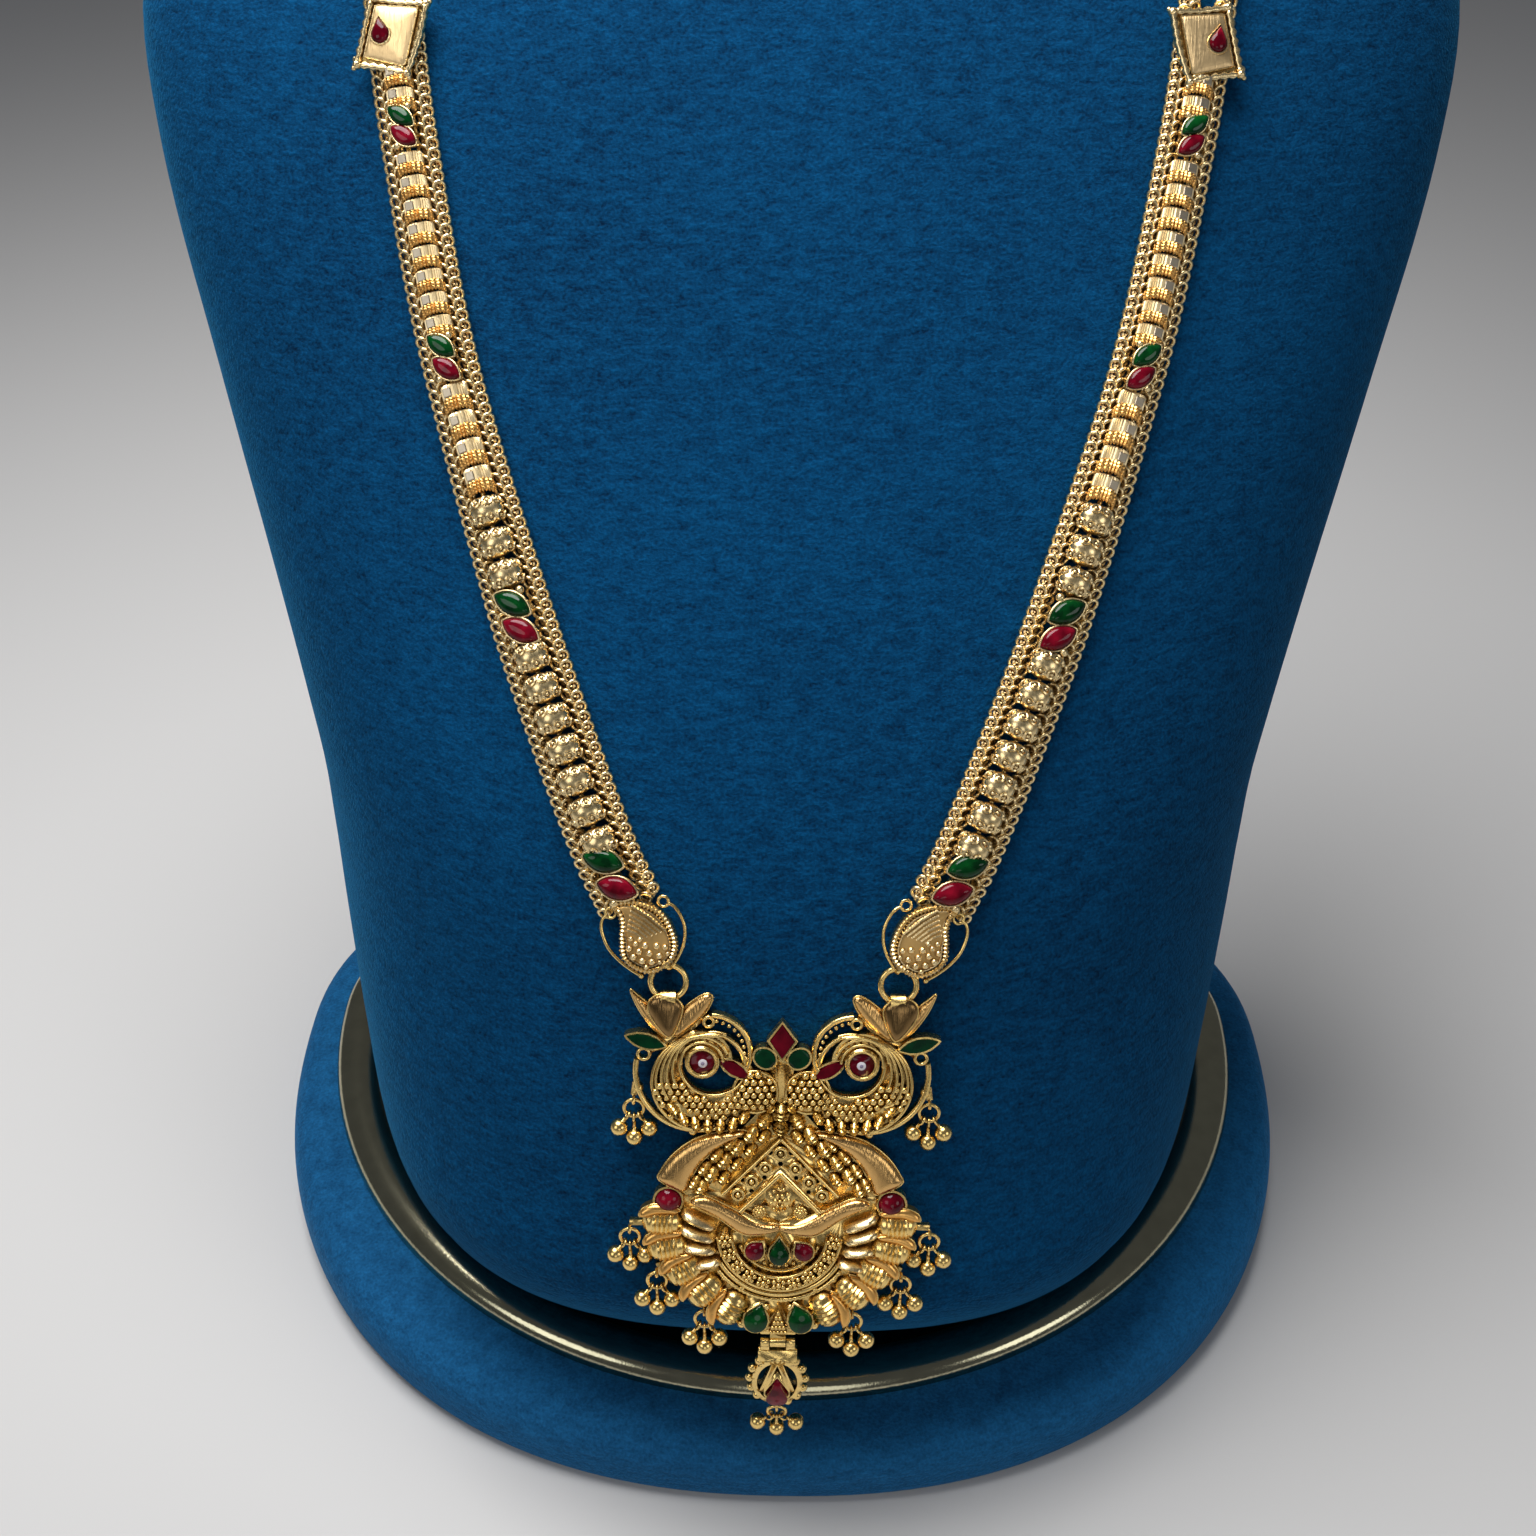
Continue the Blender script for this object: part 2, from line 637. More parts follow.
def new_group(name, inputs, outputs):
    """Node group with its sockets, given as the kind of each label."""
    group = bpy.data.node_groups.new(name, "ShaderNodeTree")
    for way, sockets in (("INPUT", inputs), ("OUTPUT", outputs)):
        for label, kind in sockets.items():
            group.interface.new_socket(name=label, in_out=way, socket_type=f"NodeSocket{kind}")
    return group, group.nodes.new("NodeGroupInput"), group.nodes.new("NodeGroupOutput")


def node(tree, kind, links=(), **values):
    """Adds a node, sets its properties or inputs and links sockets into it by input name or number."""
    made = tree.nodes.new(kind)
    for key, value in values.items():
        if hasattr(made, key):
            setattr(made, key, value)
        else:
            made.inputs[key].default_value = value
    for key, source in links:
        tree.links.new(source, made.inputs[key])
    return made


def object_place(tree):
    return node(tree, "ShaderNodeTexCoord").outputs["Object"]


def noise(tree, place, scale, detail, roughness=0.5):
    values = {"Scale": scale, "Detail": detail, "Roughness": roughness}
    return node(tree, "ShaderNodeTexNoise", [("Vector", place)], **values).outputs["Fac"]


def mapped(tree, value, **ends):
    """A value brought from one range to another; ends are from_min, from_max, to_min and to_max."""
    made = node(tree, "ShaderNodeMapRange", [("Value", value)])
    for key, number in ends.items():
        made.inputs[key.replace("_", " ").title()].default_value = number
    return made.outputs[0]


def joined(tree, operation, first, second, clamp=False):
    """Math of two values."""
    links = [(0, first), (1, second)]
    return node(tree, "ShaderNodeMath", links, operation=operation, use_clamp=clamp).outputs[0]


def blend(tree, share):
    """Mix of two colours, whose inputs are 6 and 7 and whose output is 2."""
    return node(tree, "ShaderNodeMix", [("Factor", share)], data_type="RGBA")


def build_metal_group():
    """Cast gold: darker and redder in its hollows, with fine scratches."""
    inputs = {"Bright": "Color", "Hollow": "Color", "Roughness": "Float"}
    outputs = {"Color": "Color", "Roughness": "Float", "Height": "Float"}
    group, start, end = new_group("Cast Metal", inputs, outputs)
    place = object_place(group)
    shade = node(group, "ShaderNodeAmbientOcclusion", samples=6, Distance=HOLLOW_REACH)
    hollow = mapped(group, shade.outputs["AO"], from_min=0.05, from_max=0.7)
    patch = mapped(group, noise(group, place, 260, 3), to_min=0.75, to_max=1.15)
    color = blend(group, joined(group, "MULTIPLY", hollow, patch, clamp=True))
    group.links.new(start.outputs["Hollow"], color.inputs[6])
    group.links.new(start.outputs["Bright"], color.inputs[7])
    fine = noise(group, place, 2600, 2)
    rough = joined(group, "MULTIPLY", mapped(group, fine, to_min=0.7, to_max=1.4), start.outputs["Roughness"])
    for label, source in (("Color", color.outputs[2]), ("Roughness", rough), ("Height", fine)):
        group.links.new(source, end.inputs[label])
    return group


def build_nap_group():
    """Velvet: short pile in streaks across, brushed lighter and darker."""
    inputs = {"Dark": "Color", "Light": "Color"}
    group, start, end = new_group("Velvet Nap", inputs, {"Color": "Color", "Height": "Float"})
    place = object_place(group)
    across = node(group, "ShaderNodeMapping", [("Vector", place)], Scale=(0.35, 0.35, 1)).outputs[0]
    pile = joined(group, "ADD", noise(group, across, 900, 4, 0.65), noise(group, place, 1800, 3))
    cloud = node(group, "ShaderNodeMath", [(0, noise(group, place, 14, 2))], operation="MULTIPLY")
    cloud.inputs[1].default_value = 0.4
    share = mapped(group, joined(group, "ADD", pile, cloud.outputs[0]), from_min=0.8, from_max=1.6)
    color = blend(group, share)
    group.links.new(start.outputs["Dark"], color.inputs[6])
    group.links.new(start.outputs["Light"], color.inputs[7])
    group.links.new(color.outputs[2], end.inputs["Color"])
    group.links.new(pile, end.inputs["Height"])
    return group


def new_material(name):
    made = bpy.data.materials.new(name)
    made.use_nodes = True
    return made, made.node_tree, made.node_tree.nodes["Principled BSDF"]


def bump(tree, shader, height, distance, strength=1.0):
    made = node(tree, "ShaderNodeBump", [("Height", height)], Distance=distance, Strength=strength)
    tree.links.new(made.outputs[0], shader.inputs["Normal"])


def metal(name, group, bright, hollow, roughness):
    made, tree, shader = new_material(name)
    colors = {"Bright": (*bright, 1), "Hollow": (*hollow, 1)}
    cast = node(tree, "ShaderNodeGroup", node_tree=group, **colors, Roughness=roughness)
    shader.inputs["Metallic"].default_value = 1
    tree.links.new(cast.outputs["Color"], shader.inputs["Base Color"])
    tree.links.new(cast.outputs["Roughness"], shader.inputs["Roughness"])
    bump(tree, shader, cast.outputs["Height"], SCRATCH_DEPTH)
    return made


def brushed_metal(name, group, bright, hollow, roughness):
    """Gold brushed in fine lines that lean the same way on both halves of the pendant."""
    made = metal(name, group, bright, hollow, roughness)
    tree = made.node_tree
    parts = node(tree, "ShaderNodeSeparateXYZ", [("Vector", object_place(tree))]).outputs
    across = node(tree, "ShaderNodeMath", [(0, parts[0])], operation="ABSOLUTE").outputs[0]
    point = node(tree, "ShaderNodeCombineXYZ", [("X", across), ("Y", parts[1]), ("Z", parts[2])])
    slanted = node(tree, "ShaderNodeMapping", [("Vector", point.outputs[0])], Scale=(1, 0.1, 0.06))
    slanted.inputs["Rotation"].default_value = (0, math.radians(-35), 0)
    lines = noise(tree, slanted.outputs[0], 2800, 3)
    bump(tree, tree.nodes["Principled BSDF"], lines, BRUSH_DEPTH)
    return made


def velvet(name, group, dark, light, sheen):
    made, tree, shader = new_material(name)
    colors = {"Dark": (*dark, 1), "Light": (*light, 1)}
    nap = node(tree, "ShaderNodeGroup", node_tree=group, **colors)
    shader.inputs["Roughness"].default_value = 0.95
    shader.inputs["Specular IOR Level"].default_value = 0.06
    shader.inputs["Sheen Weight"].default_value = 0.26
    shader.inputs["Sheen Roughness"].default_value = 0.35
    shader.inputs["Sheen Tint"].default_value = (*sheen, 1)
    tree.links.new(nap.outputs["Color"], shader.inputs["Base Color"])
    bump(tree, shader, nap.outputs["Height"], PILE_DEPTH, 0.6)
    return made


def stone(name, deep, bright, roughness=0.06):
    """Polished stone with a cloudy body and a glossy skin."""
    made, tree, shader = new_material(name)
    color = blend(tree, mapped(tree, noise(tree, object_place(tree), 420, 3), from_min=0.35, from_max=0.75))
    color.inputs[6].default_value = (*deep, 1)
    color.inputs[7].default_value = (*bright, 1)
    tree.links.new(color.outputs[2], shader.inputs["Base Color"])
    shader.inputs["Roughness"].default_value = roughness
    shader.inputs["IOR"].default_value = 1.5
    shader.inputs["Specular IOR Level"].default_value = 0.2
    shader.inputs["Transmission Weight"].default_value = 0.1
    shader.inputs["Coat Weight"].default_value = 0.1
    shader.inputs["Coat Roughness"].default_value = 0.03
    return made


BUST_SHEEN = (0.06, 0.5, 0.95)
PAD_SHEEN = (0.2, 0.55, 0.95)
FINISHES = {}


def build_finishes(tones):
    cast = build_metal_group()
    nap = build_nap_group()
    gold, hollow, brass = tuple(tones.gold), tuple(tones.gold_hollow), tuple(tones.brass)
    dark, light = tuple(tones.velvet_dark), tuple(tones.velvet_light)
    for key, name, make, *values in (
        ("gold", "Cast Gold", metal, cast, gold, hollow, 0.24),
        ("pale", "Pale Polished Gold", metal, cast, (1.0, 0.77, 0.4), (0.3, 0.16, 0.045), 0.27),
        ("matt", "Matt Pale Gold", metal, cast, (1.0, 0.8, 0.46), (0.45, 0.27, 0.1), 0.42),
        ("deep", "Deep Matt Gold", metal, cast, (0.7, 0.44, 0.16), hollow, 0.42),
        ("facet", "White Gold Facet", metal, cast, (0.56, 0.48, 0.36), (0.2, 0.14, 0.08), 0.34),
        ("orange", "Orange Gold", metal, cast, (0.95, 0.52, 0.15), (0.35, 0.13, 0.02), 0.3),
        ("brushed", "Brushed Gold", brushed_metal, cast, (0.78, 0.47, 0.17), hollow, 0.24),
        ("satin", "Satin Pale Gold", brushed_metal, cast, (0.8, 0.58, 0.3), hollow, 0.42),
        ("dark", "Dark Brushed Gold", brushed_metal, cast, (0.3, 0.18, 0.07), (0.03, 0.018, 0.008), 0.22),
        ("brass", "Bronzed Plate", metal, cast, brass, (0.02, 0.02, 0.01), 0.13),
        ("ruby", "Ruby Stone", stone, (0.08, 0.0, 0.005), (0.3, 0.004, 0.02)),
        ("emerald", "Green Stone", stone, (0.0, 0.02, 0.004), (0.002, 0.09, 0.014)),
        ("red enamel", "Red Enamel", stone, (0.08, 0.0, 0.005), (0.18, 0.002, 0.012), 0.1),
        ("green enamel", "Green Enamel", stone, (0.0, 0.018, 0.006), (0.0, 0.05, 0.014), 0.12),
        ("white enamel", "White Enamel", stone, (0.75, 0.7, 0.74), (0.9, 0.86, 0.9), 0.2),
        ("grey enamel", "Grey Enamel", stone, (0.22, 0.18, 0.28), (0.32, 0.28, 0.38), 0.2),
        ("bust velvet", "Bust Velvet", velvet, nap, dark, light, BUST_SHEEN),
        ("pad velvet", "Base Velvet", velvet, nap, (0.006, 0.05, 0.13), (0.014, 0.14, 0.34), PAD_SHEEN),
    ):
        FINISHES[key] = make(name, *values)


# Settings of the add-on

COLOUR = {"subtype": "COLOR", "size": 3, "min": 0, "max": 1}


class NecklaceTones(bpy.types.PropertyGroup):
    """Colours of the finishes"""

    gold: FloatVectorProperty(
        name="Gold", description="Colour of the cast gold", default=(1.0, 0.7, 0.25), **COLOUR
    )
    gold_hollow: FloatVectorProperty(
        name="Gold in the hollows",
        description="Colour of the gold in its hollows",
        default=(0.14, 0.055, 0.008), **COLOUR,
    )
    velvet_dark: FloatVectorProperty(
        name="Velvet, dark",
        description="Colour of the bust's pile where it stands up",
        default=(0.0004, 0.011, 0.036), **COLOUR,
    )
    velvet_light: FloatVectorProperty(
        name="Velvet, light",
        description="Colour of the bust's pile where it lies down",
        default=(0.0015, 0.07, 0.19), **COLOUR,
    )
    brass: FloatVectorProperty(
        name="Metal plate",
        description="Colour of the base's metal plate",
        default=(0.46, 0.43, 0.29), **COLOUR,
    )


class NecklaceSizes(bpy.types.PropertyGroup):
    """Sizes of the fine work"""

    link_radius: FloatProperty(
        name="Link radius",
        description="Radius of a ring of the side chains, to the middle of its wire, in millimetres",
        default=0.92, min=0.5, max=1.2,
    )
    link_wire: FloatProperty(
        name="Link wire",
        description="Radius of the wire of the side chains, in millimetres",
        default=0.33, min=0.1, max=0.4,
    )
    link_pitch: FloatProperty(
        name="Link pitch",
        description="Distance between rings along the side chains, in millimetres",
        default=1.75, min=1, max=3,
    )
    grain: FloatProperty(
        name="Grain",
        description="Radius of a grain of the granulation, in millimetres",
        default=0.42, min=0.2, max=0.8,
    )
    rib_depth: FloatProperty(
        name="Rib depth",
        description="Depth of the ribs as a share of the radius",
        subtype="FACTOR",
        default=0.09, min=0, max=0.3,
    )


# Operators


class NECKLACE_OT_finishes(bpy.types.Operator):
    """Build the materials"""

    bl_idname = "necklace.finishes"
    bl_label = "Finishes"

    def execute(self, context):
        build_finishes(context.scene.necklace_tones)
        return {"FINISHED"}


class NECKLACE_OT_stand(bpy.types.Operator):
    """Velvet neck bust, velvet pad and metal plate"""

    bl_idname = "necklace.stand"
    bl_label = "Neck bust and base"

    def execute(self, context):
        levels = [(z, 0) for z in range(16, 297, 4)] + [(298.5, 0), (299.3, 0.35), (299.8, 0.9), (300, 1.5)]
        bust = shell(176, levels, lambda turn, level: bust_point(turn, *level))
        finish_piece("velvet_bust", bust, "bust velvet", stands_for=["bust"], sharp=60)
        for name, oval, edge, finish, replaced, slot in (
            ("velvet_pad", PAD_OVAL, PAD_EDGE, "pad velvet", "base_pad", "pad_velvet"),
            ("metal_plate", PLATE_OVAL, PLATE_EDGE, "brass", "brass_plate", "base_brass"),
        ):
            steps = [i / 4 for i in range(4 * len(edge) - 3)]
            slab = shell(192, steps, lambda turn, t: slab_point(turn, oval, edge, t))
            finish_piece(name, slab, finish, stands_for=[replaced], sharp=60)
        return {"FINISHED"}


class NECKLACE_OT_side_chains(bpy.types.Operator):
    """Side chains of two columns of interlocked rings each"""

    bl_idname = "necklace.side_chains"
    bl_label = "Side chains"

    def execute(self, context):
        sizes = context.scene.necklace_sizes
        link = ring_shape(sizes.link_radius, sizes.link_wire, sides=6, steps=12)
        under = ring_shape(0.8 * sizes.link_radius, sizes.link_wire, sides=5, steps=10)
        count = round((FLANK_END - RUN_TOP) / sizes.link_pitch)
        for name, way in (("outer", 1), ("inner", -1)):
            bm = bmesh.new()
            for column in (1, -1):
                lean = turned(24 * column, "Y")
                slant = turned(30, "X")
                for i in range(count + 1):
                    s = RUN_TOP + (FLANK_END - RUN_TOP) * (i + 0.25 + 0.25 * column) / (count + 0.5)
                    beside = moved(0.8 * column, 0, 0.1)
                    stamp(bm, link, flank_place(s, way) @ beside @ lean @ slant)
                    stamp(bm, under, flank_place(s, way) @ moved(0.15 * column, 0.4, -0.45))
            side_pieces(f"chain_{name}_links", bm, "pale", [f"chain_%_{name}"])
        return {"FINISHED"}


class NECKLACE_OT_beads(bpy.types.Operator):
    """Fluted beads with their roped bands, and round beads with rings and dots"""

    bl_idname = "necklace.beads"
    bl_label = "Strap beads"

    def execute(self, context):
        block = self.fluted_block()
        band = self.roped_band()
        drum = self.drum()
        facet = cube_shape()
        blocks, bands, drums, facets = (bmesh.new() for _ in range(4))
        for first, pitch, count, form in BEAD_ROWS:
            for i in range(count):
                place = strap_place(first + pitch * i)
                if form == "drum":
                    stamp(drums, drum, place @ moved(0, 0, DRUM_HIGH))
                    continue
                long = pitch - 0.25
                for bm, shape, along, share in ((blocks, block, 0.2, 0.6), (bands, band, -0.28, 0.42)):
                    stretch = Matrix.Scale(share * long, 4, (0, 1, 0))
                    stamp(bm, shape, place @ moved(0, along * long, BEAD_HIGH) @ stretch)
                stamp(facets, facet, place @ moved(0.85, 0.2 * long, BEAD_HIGH + 1.5) @ sized(1.4, 1.45, 0.6))
        bmesh.ops.bevel(facets, geom=facets.edges[:], offset=0.12, segments=1, profile=0.5, affect="EDGES")
        side_pieces("fluted_beads", blocks, "matt", ["beads"], sharp=30)
        side_pieces("roped_bands", bands, "orange", sharp=50)
        side_pieces("bead_facets", facets, "facet", sharp=30)
        side_pieces("round_beads", drums, "pale")
        return {"FINISHED"}

    def fluted_block(self):
        """Squarish barrel of unit length along y, with fine flutes along it."""
        levels = [(-0.5, 0.86), (-0.36, 1.0), (0.36, 1.0), (0.5, 0.86)]

        def point(turn, row):
            flute = row[1] * (1 - 0.07 * (round(turn / 6) % 2))
            a = math.radians(turn)
            across, high = bend(math.cos(a), 2.7), bend(math.sin(a), 2.7)
            return Vector((2.25 * flute * across, row[0], 1.7 * flute * high))

        return as_mesh(shell(60, levels, point))

    def roped_band(self):
        """Three roped wires arched over the strap, of unit length along y."""
        bm = bmesh.new()
        for k in (-1, 0, 1):
            line = []
            for i in range(21):
                a = math.radians(9 * i)
                across, high = bend(math.cos(a), 2.5), bend(math.sin(a), 2.5)
                line.append((2.15 * across, 0.3 * k + 0.45 * (high - 0.7), (1.72 - 0.12 * abs(k)) * high))
            coil_wire(bm, line, 0.36, 0.58, depth=0.5)
        return as_mesh(bm)

    def drum(self):
        """Round bead with rings and dots on its outer half."""
        bm = bmesh.new()
        bmesh.ops.create_uvsphere(bm, u_segments=20, v_segments=12, radius=2.0)
        ring = ring_shape(0.58, 0.17, sides=5, steps=12)
        dot = grain_shape(0.27)
        for row in (-1, 1):
            for turn in (-108, -66, -23, 23, 66, 108):
                face = turned(turn, "Y") @ turned(-31 * row, "X") @ moved(0, 0, 2.05)
                stamp(bm, ring, face)
                stamp(bm, dot, face)
        bmesh.ops.scale(bm, verts=bm.verts, vec=(1.38, 1.27, 1.05))
        return as_mesh(bm)


class NECKLACE_OT_settings(bpy.types.Operator):
    """Marquise settings, and the plain metal of rings, drops, clasp, pendant and tail"""

    bl_idname = "necklace.settings"
    bl_label = "Settings and plain metal"

    def execute(self, context):
        holders = bmesh.new()
        post = cube_shape()
        ball = grain_shape(0.72, 12, 8)
        wall = marquise(3.35, 1.84)
        for run, pitch, size, turn in PAIR_ROWS:
            stand = moved(0, 0, BEAD_HIGH) @ sized(1.9, pitch + 1.6, 2)
            stamp(holders, post, strap_place(run) @ stand)
            for k in (1, -1):
                held = bmesh.new()
                crowned(held, wall, 0, 1.0, 0.02, [(-2, 0), (2, 0)])
                wire(held, lifted(wall, 1.05), 0.2, closed=True)
                stamp(held, ball, moved(0, 2.4 * k, 0.7))
                stamp(holders, as_mesh(held), pair_seat(run, k * pitch / 2, size, turn))
        side_pieces("marquise_settings", holders, "pale", ["settings"])
        for side in ("left", "right"):
            for name in ("jump_ring", "bead_wire", *(f"drop_{k}" for k in DROPS), "end_plate"):
                smooth_copy(f"{name}_{side}")
        smooth_copy("clasp")
        smooth_copy("pendant", sharp=25)
        for name in ("tail_drop", "tail_balls"):
            smooth_copy(name, body=TAIL)
        return {"FINISHED"}


class NECKLACE_OT_stones(bpy.types.Operator):
    """Red and green stones and enamel fields"""

    bl_idname = "necklace.stones"
    bl_label = "Stones and enamel"

    def execute(self, context):
        cut = bmesh.new()
        crowned(cut, marquise(3.1, 1.66), 1.0, 0.15, 0.85, [(-1, 0), (1, 0)])
        cut = as_mesh(cut)
        for name, finish, way in (("green_stones", "emerald", 1), ("red_stones", "ruby", -1)):
            bm = bmesh.new()
            for run, pitch, size, turn in PAIR_ROWS:
                stamp(bm, cut, pair_seat(run, way * pitch / 2, size, turn))
            side_pieces(f"marquise_{name}", bm, finish, [name], sharp=60)
        for side in ("left", "right"):
            for name, finish, slot in (
                ("eye", "red enamel", "red_enamel"),
                ("beak", "red enamel", "red_enamel"),
                ("cup_leaf", "green enamel", "green_enamel"),
                ("crest_leaf", "green enamel", "green_enamel"),
                ("cabochon", "ruby", "red_stone"),
                ("crescent_red", "ruby", "red_stone"),
                ("low_leaf", "emerald", "green_stone"),
            ):
                smooth_copy(f"{name}_{side}", finish)
        smooth_copy("crest_stone", "red enamel")
        smooth_copy("crescent_green", "emerald")
        smooth_copy("tail_stone", "ruby", TAIL)
        for name, radius, high, finish in (
            ("eye_whites", 0.74, 0.14, "white enamel"),
            ("eye_pupils", 0.36, 0.26, "grey enamel"),
        ):
            bm = bmesh.new()
            disc = moved(EYE_AT.x - 0.1, EYE_AT.y - 0.25, EYE_TOP) @ sized(radius, radius, high)
            stamp(bm, grain_shape(1, 20, 10), disc)
            pendant_piece(name, bm, finish)
        return {"FINISHED"}


class NECKLACE_OT_star_plates(bpy.types.Operator):
    """Domed star plates with a coiled border and corner grains"""

    bl_idname = "necklace.star_plates"
    bl_label = "Star plates"

    def execute(self, context):
        place = strap_place(STAR_AT) @ moved(0, 0, STAR_HIGH)
        base, plate, rope, stone_at = (bmesh.new() for _ in range(4))
        edge = spread(lifted(STAR_EDGE, 0), 1.0, True)
        crowned(base, edge, -0.5, 1.2, 0.2, [(0, 0)], shares=(0, 0.2))
        face = spread(lifted(STAR_FACE, 0), 0.8, True)
        crowned(plate, face, 0.6, 0.75, 0.4, [(0.6, -1.6), (-0.4, 0.6)])
        coil_wire(rope, lifted(STAR_EDGE, 0.95), 0.72, 1.5, closed=True, depth=0.46, sides=8)
        wire(rope, lifted(face, 1.35), 0.15, closed=True)
        for x, y in STAR_EDGE[::2]:
            for across, up, high, size in (
                (x, y, 0.9, 0.75),
                (0.94 * x + 0.5, 0.94 * y + 0.6, 0.9, 0.5),
                (1.1 * x, 1.1 * y, 0.8, 0.42),
            ):
                stamp(rope, grain_shape(size, 10, 7), moved(across, up, high))
        line = drop_line(1.4, 2.6, STAR_STONE_AT)
        crowned(stone_at, line, 1.2, 0.65, 0.7, [(1.5, -0.6), (1.5, 0.5)])
        wire(rope, lifted(drop_line(1.6, 2.95, STAR_STONE_AT), 1.75), 0.2, closed=True)
        for bm in (base, plate, rope, stone_at):
            bm.transform(place)
        side_pieces("star_bases", base, "gold", ["star_plate"], sharp=50)
        side_pieces("star_faces", plate, "satin", sharp=50)
        side_pieces("star_ropes", rope, "pale", sharp=50)
        side_pieces("star_pears", stone_at, "ruby", ["star_stone"])
        return {"FINISHED"}


class NECKLACE_OT_paisleys(bpy.types.Operator):
    """Coiled borders, veins, grains and scrolls of the paisley plates"""

    bl_idname = "necklace.paisleys"
    bl_label = "Paisley plates"

    def execute(self, context):
        end = strap_place(STRAP_END)
        top = PENDANT @ Vector(RING_TOP)
        start = end.translation + 2.6 * end.col[2].to_3d()
        up = (start - top).normalized()
        side = up.cross(end.col[2].to_3d()).normalized()
        place = axes(top, side, up, side.cross(up)) @ moved(0, 4.6, -0.7)
        base, floor, bm, scrolls = (bmesh.new() for _ in range(4))
        edge = rounded(PAISLEY_EDGE, cuts=3)
        inner = drawn_in(edge, PAISLEY_SPINE, 0.95)
        crowned(base, edge, 0, 1.3, 0.05, PAISLEY_SPINE, shares=(0, 0.05))
        crowned(floor, inner, 1.2, 0.3, 0.55, PAISLEY_SPINE)
        border = lifted(drawn_in(edge, PAISLEY_SPINE, 0.45), 1.5)
        coil_wire(bm, border, 0.68, 0.66, closed=True, depth=0.45, sides=8)
        wire(bm, lifted(drawn_in(edge, PAISLEY_SPINE, 1.2), 1.75), 0.17, closed=True)
        for k in range(6):
            top_end = Vector((-1.3 + 0.6 * k, 6.6 - 0.55 * k, 1.95))
            low_end = Vector((-3.4 + 0.75 * k, 0.2 + 0.2 * k, 1.95))
            middle = top_end.lerp(low_end, 0.5) + Vector((-0.25, 0.1, 0.1))
            coil_wire(bm, [top_end, middle, low_end], 0.3, 0.42, depth=0.3)
        for x, y, r in PAISLEY_GRAINS:
            stamp(bm, grain_shape(r, 10, 7), moved(x, y, 1.95))
        for line, ball in ((OUTER_SCROLL, 0.5), (INNER_SCROLL, 0.42)):
            path = rounded(lifted(line, 0.8), closed=False)
            wire(scrolls, path[2:], 0.28, sides=8)
            stamp(scrolls, ring_shape(0.85, 0.26, 8, 18), moved(*line[0], 0.8))
            stamp(scrolls, grain_shape(ball, 10, 7), moved(*line[-1], 0.8))
        lug = moved(0, -4.3, 0.7) @ Matrix.Rotation(math.pi / 2, 4, "Y")
        stamp(scrolls, ring_shape(0.95, 0.4, 10, 18), lug)
        for held in (base, floor, bm, scrolls):
            held.transform(place)
        side_pieces("paisley_plates", base, "gold", ["paisley"], sharp=50)
        side_pieces("paisley_floors", floor, "deep", sharp=50)
        side_pieces("paisley_work", bm, "pale", sharp=50)
        side_pieces("paisley_scrolls", scrolls, "gold")
        return {"FINISHED"}


class NECKLACE_OT_fan(bpy.types.Operator):
    """Ribbed fan lobes with orange shoulders, smooth ribs and ribbed ovals"""

    bl_idname = "necklace.fan"
    bl_label = "Fan and ovals"

    def execute(self, context):
        depth = context.scene.necklace_sizes.rib_depth
        lobe = turned_shape(ribbed_profile(9, depth, 2.25), 20)
        oval = turned_shape(ribbed_profile(5, 1.6 * depth, 2.4), 10)
        rib = turned_shape(smooth_profile(8, 3.2), 14)
        lobes, ribs, ovals, shoulders = (bmesh.new() for _ in range(4))
        wide = sized(1.1, 1.36, 1.12)
        stamp(lobes, lobe, *(place_of(row) @ wide for row in FAN_ROWS))
        stamp(ribs, rib, *(place_of(row, 1.34) for row in RIB_ROWS))
        broad = sized(1.02, 1.28, 1)
        stamp(ovals, oval, *(place_of(row, 1.3) @ broad for row in PANEL_ROWS + FILL_ROWS))
        stamp(ovals, oval, *(place_of(row, 1.4) for row in BODY_ROWS))
        corners = [(3.7, 1.2), (3.4, 2.6), (1.6, 3.5), (-0.9, 3.4), (-3.0, 2.5), (-1.4, 1.9), (1.0, 1.7)]
        outline = rounded(corners, cuts=3)
        spine = [(3.0, 1.9), (1.4, 2.6), (-0.9, 2.6), (-2.2, 2.4)]
        cuff = bmesh.new()
        crowned(cuff, outline, 0.4, 1.7, 0.8, spine)
        cuff = as_mesh(cuff)
        for row in FAN_ROWS:
            place = moved(row[0], row[1], 0) @ turned(row[2], "Z")
            stamp(shoulders, cuff, place)
            wire(lobes, [place @ Vector((p.x, p.y, 2.2)) for p in outline[:14]], 0.18)
        pendant_piece("fan_lobes", lobes)
        pendant_piece("fan_shoulders", shoulders, "orange", sharp=50)
        pendant_piece("fan_ribs", ribs, "pale")
        pendant_piece("ribbed_ovals", ovals)
        return {"FINISHED"}


